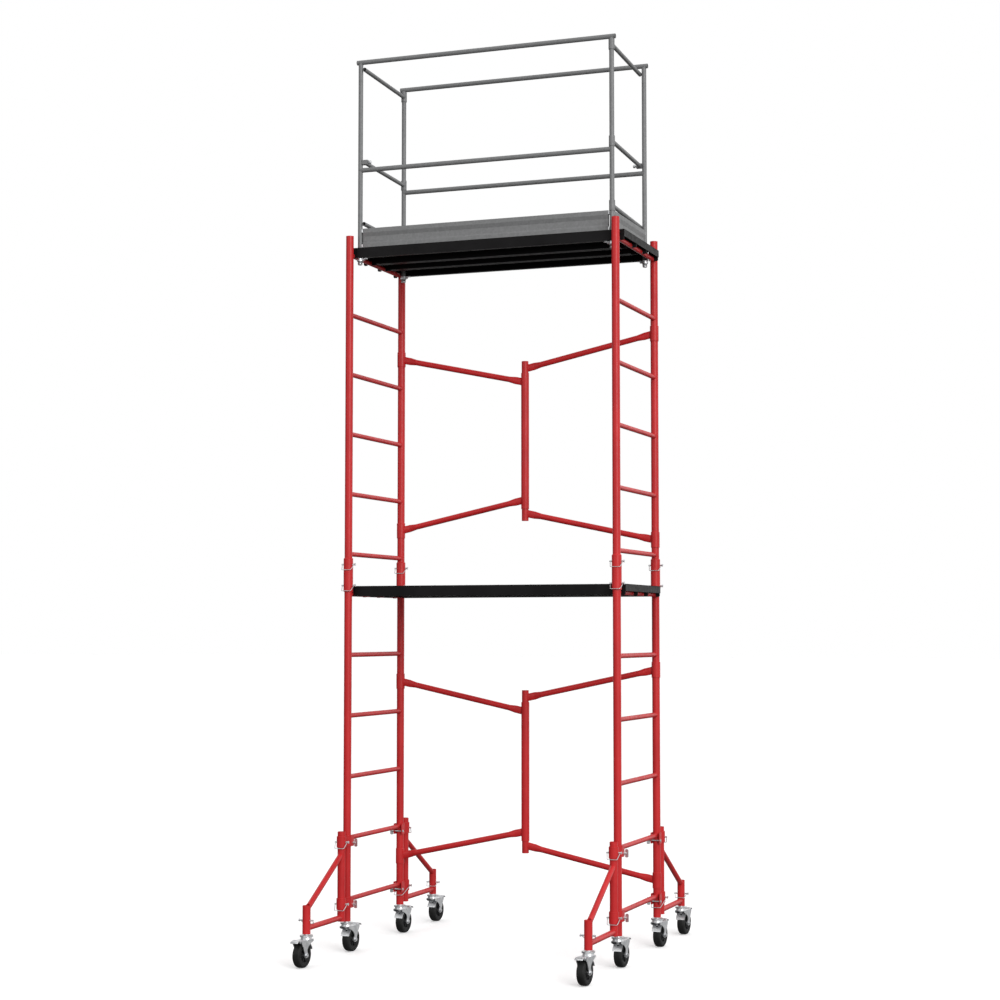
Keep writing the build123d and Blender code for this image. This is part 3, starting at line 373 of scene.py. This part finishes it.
for tier in ("lower", "upper"):
    for side, sign in SIDES.items():
        low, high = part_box(f"{tier}_{side}_ladder")
        x = (low.x + high.x) / 2
        post_y = high.y - POST_RADIUS
        seams = []
        for height in RUNG_HEIGHTS:
            for outward in (-1, 1):
                at, post = (x, 0, low.z + height), (x, outward * post_y, 0)
                seams.append(seam(at, (0, outward, 0), RUNG_RADIUS, post, UP, POST_RADIUS))
        # a rung starts from inside the bay, so its seam is on the post's near side
        for line in seams:
            centre = post_y if line[0].y > 0 else -post_y
            for point in line:
                point.y = 2 * centre - point.y
        weld(f"{tier}_{side}_ladder_welds", "frame", red_bead, seams)

        # the arms of a brace panel, at the hinge sleeves and at the centre tube
        ends = []
        for lift, rise in zip(ARM_ENDS[side], (-ARM_RISE, ARM_RISE)):
            post_at = Vector((x, post_y, low.z + lift))
            centre_at = Vector((0, post_y, low.z + lift + rise))
            run = centre_at - post_at
            ends.append(seam(post_at, run, ARM_SECTION, post_at, UP, HINGE_RADIUS))
            ends.append(seam(centre_at, -run, ARM_SECTION, centre_at, UP, CENTRE_RADIUS[side]))
        weld(f"{tier}_{side}_brace_welds", "frame", red_bead, ends)

outrigger_seams = []
for sign_x in SIDES.values():
    x = sign_x * abs(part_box("lower_left_ladder")[1].x - POST_RADIUS)
    for outward in (-1, 1):
        main_y = outward * (post_y + OUTRIGGER_OFFSET)
        short_y = outward * (post_y + OUTRIGGER_REACH)
        for main_z, short_z in ((OUTRIGGER_BRACE_Z, OUTRIGGER_BRACE_Z), DIAGONAL_ENDS):
            inner, outer = Vector((x, main_y, main_z)), Vector((x, short_y, short_z))
            for end, run in ((inner, outer - inner), (outer, inner - outer)):
                outrigger_seams.append(seam(end, run, OUTRIGGER_TUBE_RADIUS, end, UP, POST_RADIUS))
weld("outrigger_welds", "frame", red_bead, outrigger_seams)

guard_seams = []
for y in (-GUARD_Y, GUARD_Y):
    for outward in (-1, 1):
        top, middle = GUARD_RAIL_Z
        x = outward * GUARD_X
        for z, along, main_along in ((top, (0, 0, -1), (1, 0, 0)), (middle, (-outward, 0, 0), UP)):
            at = (x, y, z)
            guard_seams.append(seam(at, along, GUARD_RADIUS, at, main_along, GUARD_RADIUS))
weld("guardrail_welds", "upper_deck", grey_bead, guard_seams)

for side, sign in SIDES.items():
    for level, drop in BAR_DROPS.items():
        at = Vector((sign * GUARD_X, -sign * GUARD_Y, GUARD_RAIL_Z[0] - drop))
        along = (-sign * sin(BAR_LEAN), sign * cos(BAR_LEAN), 0)
        joint = [seam(at, along, BAR_RADIUS, at, UP, BAR_SLEEVE_RADIUS)]
        weld(f"{side}_{level}_bar_weld", f"{side}_{level}_bar", grey_bead, joint)

# ------------------------------------------------------------------ rivets


def turned_shape(outline, steps, axis="Y", closed=True):
    """Spins an outline of (radius, along) points into a closed ring or knob."""
    shape = bmesh.new()
    rings = []
    for turn in range(steps):
        angle = 2 * pi * turn / steps
        ring = []
        for radius, along in outline:
            around = (radius * cos(angle), radius * sin(angle))
            place = (around[0], along, around[1]) if axis == "Y" else (*around, along)
            ring.append(shape.verts.new(place))
        rings.append(ring)
    last = len(outline) if closed else len(outline) - 1
    for turn in range(steps):
        here, ahead = rings[turn], rings[(turn + 1) % steps]
        for spot in range(last):
            after = (spot + 1) % len(outline)
            shape.faces.new((here[spot], here[after], ahead[after], ahead[spot]))
    bmesh.ops.remove_doubles(shape, verts=shape.verts, dist=1e-6)
    bmesh.ops.recalc_face_normals(shape, faces=shape.faces)
    return shape


def rivet_tree(finish, head):
    """Sets a domed head on every point."""
    tree, given, result = new_tree("rivet_row_" + finish.name, ("Head Size",))
    link = tree.links.new
    picked = step(tree, "GeometryNodeObjectInfo", Object=head)
    spots = tree.nodes.new("GeometryNodeInstanceOnPoints")
    link(given.outputs["Geometry"], spots.inputs["Points"])
    link(picked.outputs["Geometry"], spots.inputs["Instance"])
    link(given.outputs["Head Size"], spots.inputs["Scale"])
    whole = tree.nodes.new("GeometryNodeRealizeInstances")
    link(spots.outputs["Instances"], whole.inputs["Geometry"])
    coat = step(tree, "GeometryNodeSetMaterial", Material=finish)
    link(whole.outputs["Geometry"], coat.inputs["Geometry"])
    link(coat.outputs["Geometry"], result.inputs["Geometry"])
    return tree


DOME = [(0.0, 1.0), (0.45, 0.94), (0.78, 0.70), (1.0, 0.22), (1.0, 0.0), (0.0, 0.0)]
dome = [(across * RIVET_RADIUS, up * RIVET_HEIGHT) for across, up in DOME]
dome_shape = turned_shape(dome, 14, "Z", closed=False)
dome_mesh = bpy.data.meshes.new("rivet_head")
dome_shape.to_mesh(dome_mesh)
dome_shape.free()
rivet_head = show("rivet_head", dome_mesh)
rivet_row = rivet_tree(plated, rivet_head)
for tier in ("lower", "upper"):
    low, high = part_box(f"{tier}_deck_panel")
    count = int((high.x - low.x) / RIVET_PITCH)
    rows = (low.y + RIVET_EDGE, -STIFFENER_Y, STIFFENER_Y, high.y - RIVET_EDGE)
    columns = [(place - (count - 1) / 2) * RIVET_PITCH for place in range(count)]
    spots = [(x, y, high.z) for x in columns for y in rows]
    cloud = bpy.data.meshes.new("rivet_spots")
    cloud.from_pydata(spots, [], [])
    source = show("rivet_spots", cloud)
    use_tree(source, rivet_row, {"Head Size": 1.0})
    bake_tree(source, f"{tier}_deck_rivets", f"{tier}_deck")
bpy.data.objects.remove(rivet_head)

# ------------------------------------------------------------------ plugs in the outriggers' diagonals

PLUG_INSET = 0.033  # from the short tube's axis, along the diagonal
PLUG = [(0.0, 0.0010), (0.0116, 0.0010), (0.0125, 0.0002), (0.0125, -0.0010), (0.0, -0.0010)]
plugs = bmesh.new()
main_z, short_z = DIAGONAL_ENDS
post_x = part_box("lower_right_ladder")[1].x - POST_RADIUS
for outward in (-1, 1):
    outer = Vector((0, outward * (post_y + OUTRIGGER_REACH), short_z))
    run = (Vector((0, outward * (post_y + OUTRIGGER_OFFSET), main_z)) - outer).normalized()
    for tower_x in (-post_x, post_x):
        middle = outer + run * PLUG_INSET + Vector((tower_x, 0, 0))
        plug = turned_shape(PLUG, 32, "Z", closed=False)
        bmesh.ops.transform(plug, verts=plug.verts, matrix=run.to_track_quat("Z", "X").to_matrix().to_4x4())
        bmesh.ops.translate(plug, verts=plug.verts, vec=middle)
        part = bpy.data.meshes.new("plug")
        plug.to_mesh(part)
        plug.free()
        plugs.from_mesh(part)
        bpy.data.meshes.remove(part)
plug_mesh = bpy.data.meshes.new("outrigger_plugs")
plugs.to_mesh(plug_mesh)
plugs.free()
plug_piece = show("outrigger_plugs", plug_mesh, red_paint)
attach(plug_piece, "frame")

# ------------------------------------------------------------------ wheels and pedals

TYRE_HALF = [
    (0.0420, 0.0170), (0.0422, 0.0196), (0.0440, 0.0206), (0.0480, 0.0210), (0.0512, 0.0210),
    (0.0520, 0.0204), (0.0528, 0.0204), (0.0536, 0.0209), (0.0560, 0.0206), (0.0585, 0.0196),
    (0.0608, 0.0178), (0.0624, 0.0150), (0.0632, 0.0110), (0.0635, 0.0060),
]
HUB_HALF = [
    (0.0420, 0.0177), (0.0412, 0.0187), (0.0385, 0.0190), (0.0372, 0.0183), (0.0362, 0.0115),
    (0.0335, 0.0093), (0.0200, 0.0085), (0.0168, 0.0103), (0.0158, 0.0173), (0.0148, 0.0187),
    (0.0112, 0.0190), (0.0108, 0.0181), (0.0064, 0.0181),
]
SEAL_HALF = [(0.0106, 0.0175), (0.0104, 0.0186), (0.0086, 0.0189), (0.0070, 0.0186), (0.0064, 0.0175)]
RIB_COUNT = 8
RIB_REACH = (0.0150, 0.0375)
RIB_HALF_WIDTH = 0.0018
RIB_FACE = 0.0163
RIB_BEVEL = 0.0006
WHEEL_STEPS = 96


def both_sides(half):
    return half + [(radius, -along) for radius, along in reversed(half)]


def add_shape(mesh_in, shape, material_index):
    """Puts a shape's faces into the wheel with their own material."""
    for face in shape.faces:
        face.material_index = material_index
        face.smooth = True
    part = bpy.data.meshes.new("part")
    shape.to_mesh(part)
    shape.free()
    mesh_in.from_mesh(part)
    bpy.data.meshes.remove(part)


def soft_block(low, high, bevel):
    """A block with rounded edges."""
    shape = bmesh.new()
    bmesh.ops.create_cube(shape, size=1.0)
    size = Vector(high) - Vector(low)
    middle = (Vector(high) + Vector(low)) / 2
    place = Matrix.Translation(middle) @ Matrix.Diagonal((*size, 1))
    bmesh.ops.transform(shape, verts=shape.verts, matrix=place)
    bmesh.ops.bevel(shape, geom=shape.edges, offset=bevel, segments=2, profile=0.5, affect="EDGES")
    return shape


def wheel_mesh():
    """Tyre, ribbed hub and bearing seals, with the axle along Y through the origin."""
    whole = bmesh.new()
    add_shape(whole, turned_shape(both_sides(TYRE_HALF), WHEEL_STEPS), 0)
    add_shape(whole, turned_shape(both_sides(HUB_HALF), WHEEL_STEPS), 1)
    add_shape(whole, turned_shape(both_sides(SEAL_HALF), 48), 2)
    inner, outer = RIB_REACH
    for place in range(RIB_COUNT):
        low, high = (inner, -RIB_FACE, -RIB_HALF_WIDTH), (outer, RIB_FACE, RIB_HALF_WIDTH)
        rib = soft_block(low, high, RIB_BEVEL)
        turn = Matrix.Rotation(2 * pi * (place + 0.5) / RIB_COUNT, 4, "Y")
        bmesh.ops.transform(rib, verts=rib.verts, matrix=turn)
        add_shape(whole, rib, 1)
    mesh = bpy.data.meshes.new("wheel")
    whole.to_mesh(mesh)
    whole.free()
    return mesh


PEDAL_SPINE = [
    (-0.006, 0.0072), (0.000, 0.0090), (0.010, 0.0098), (0.020, 0.0096), (0.028, 0.0086),
    (0.034, 0.0062), (0.039, 0.0026), (0.042, -0.0012),
]
PEDAL_THICKNESS = 0.0026
PEDAL_GRIPS = (0.010, 0.017, 0.024)


def pedal_mesh():
    """A pressed foot lever: a curved plate with turned-down cheeks, an eye and grip ridges."""
    whole = bmesh.new()
    back = [(x, z - PEDAL_THICKNESS) for x, z in PEDAL_SPINE]
    plate = bmesh.new()
    loops = []
    for y in (-PEDAL_HALF_WIDTH, PEDAL_HALF_WIDTH):
        loops.append([plate.verts.new((x, y, z)) for x, z in PEDAL_SPINE + back[::-1]])
    count = len(loops[0])
    plate.faces.new(loops[0])
    plate.faces.new(loops[1][::-1])
    for spot in range(count):
        after = (spot + 1) % count
        plate.faces.new((loops[0][spot], loops[0][after], loops[1][after], loops[1][spot]))
    bmesh.ops.recalc_face_normals(plate, faces=plate.faces)
    sharp = [edge for edge in plate.edges if edge.calc_face_angle(0) > 1.0]
    bmesh.ops.bevel(plate, geom=sharp, offset=0.0007, segments=2, profile=0.5, affect="EDGES")
    add_shape(whole, plate, 0)
    for outward in (-1, 1):
        edge = outward * PEDAL_HALF_WIDTH
        inner = edge - outward * PEDAL_THICKNESS
        low, high = sorted((edge, inner))
        add_shape(whole, soft_block((-0.007, low, -0.0065), (0.016, high, 0.0085), 0.0007), 0)
    for x in PEDAL_GRIPS:
        ridge = soft_block((x - 0.0012, -0.016, 0.0085), (x + 0.0012, 0.016, 0.0108), 0.0008)
        add_shape(whole, ridge, 0)
    eye = turned_shape([(0.00405, -0.0215), (0.0068, -0.0215), (0.0072, -0.0210), (0.0072, 0.0210),
                        (0.0068, 0.0215), (0.00405, 0.0215)], 32)
    add_shape(whole, eye, 0)
    mesh = bpy.data.meshes.new("pedal")
    whole.to_mesh(mesh)
    whole.free()
    return mesh


wheel_pattern = wheel_mesh()
pedal_pattern = pedal_mesh()
for joint in frame["joints"]:
    body = joint["child"]
    if not joint["name"].endswith(("_roll", "_brake")):
        continue
    axis = Vector(joint["axis"])
    ahead = axis.cross(Vector(UP))
    place = Matrix.Translation(Vector(joint["pos_m"])) @ Matrix((ahead, axis, UP)).transposed().to_4x4()
    rolls = body.endswith("_wheel")
    mesh = (wheel_pattern if rolls else pedal_pattern).copy()
    mesh.transform(place)
    if rolls:
        piece = show(body + "_turned", mesh, tyre_rubber, hub_plastic, plated)
    else:
        piece = show(body + "_pressed", mesh, plated)
    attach(piece, body)
    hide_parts(body)

# ------------------------------------------------------------------ floor, light and camera

floor_mesh = bpy.data.meshes.new("floor")
FLOOR_HALF = 120.0
corners = [(x * FLOOR_HALF, y * FLOOR_HALF, 0) for x, y in ((-1, -1), (1, -1), (1, 1), (-1, 1))]
floor_mesh.from_pydata(corners, [], [(0, 1, 2, 3)])
pale, _, pale_skin = start_finish("pale_floor")
pale_skin.inputs["Base Color"].default_value = (0.95, 0.95, 0.95, 1.0)
pale_skin.inputs["Roughness"].default_value = 1.0
pale_skin.inputs["Specular IOR Level"].default_value = 0.0
pale_skin.inputs["Emission Color"].default_value = (1.0, 1.0, 1.0, 1.0)
pale_skin.inputs["Emission Strength"].default_value = 0.22
floor = show("floor", floor_mesh, pale)
floor.visible_diffuse = False
floor.visible_glossy = False

# a white studio overhead that falls off to a dim one below the horizon
STUDIO_RIGHT = (0.9377, 0.3476, 0.0)
world = bpy.data.worlds.new("studio")
bpy.context.scene.world = world
world.use_nodes = True
studio = world.node_tree
sky = studio.nodes["Background"]
sky.inputs["Strength"].default_value = 1.0
around = step(studio, "ShaderNodeTexCoord")
height = step(studio, "ShaderNodeSeparateXYZ")
studio.links.new(around.outputs["Generated"], height.inputs["Vector"])
fall = step(studio, "ShaderNodeMapRange", From_Min=-0.20, From_Max=-0.02, To_Min=0.16, To_Max=1.0)
studio.links.new(height.outputs["Z"], fall.inputs["Value"])
# and is dimmer on the left, so that round tubes show a shaded side
aside = step(studio, "ShaderNodeVectorMath", operation="DOT_PRODUCT")
aside.inputs[1].default_value = STUDIO_RIGHT
studio.links.new(around.outputs["Generated"], aside.inputs[0])
left_fall = step(studio, "ShaderNodeMapRange", From_Min=-0.85, From_Max=-0.30, To_Min=0.22, To_Max=1.0)
studio.links.new(aside.outputs["Value"], left_fall.inputs["Value"])
both = step(studio, "ShaderNodeMath", operation="MULTIPLY")
studio.links.new(fall.outputs["Result"], both.inputs[0])
studio.links.new(left_fall.outputs["Result"], both.inputs[1])
studio.links.new(both.outputs["Value"], sky.inputs["Color"])
bpy.context.scene.view_settings.view_transform = "Standard"


def soft_box(name, place, target, size, power):
    lamp = bpy.data.lights.new(name, "AREA")
    lamp.shape = "RECTANGLE"
    lamp.size, lamp.size_y = size
    lamp.energy = power
    made = bpy.data.objects.new(name, lamp)
    made.location = place
    made.rotation_euler = (Vector(target) - Vector(place)).to_track_quat("-Z", "Y").to_euler()
    bpy.context.scene.collection.objects.link(made)


soft_box("key_light", (8.5, -8.5, 5.5), (0, 0, 2.3), (6.0, 6.0), 700.0)
soft_box("fill_light", (-6.0, -9.0, 5.0), (0, 0, 2.3), (5.0, 5.0), 110.0)

lens = bpy.data.cameras.new("camera")
lens.lens = 73.085
lens.sensor_width = 36.0
lens.clip_end = 500.0
camera = bpy.data.objects.new("camera", lens)
camera.location = (3.7836, -10.2519, 1.6875)
camera.rotation_euler = (radians(93.72), 0, radians(20.34))
bpy.context.scene.collection.objects.link(camera)
bpy.context.scene.camera = camera
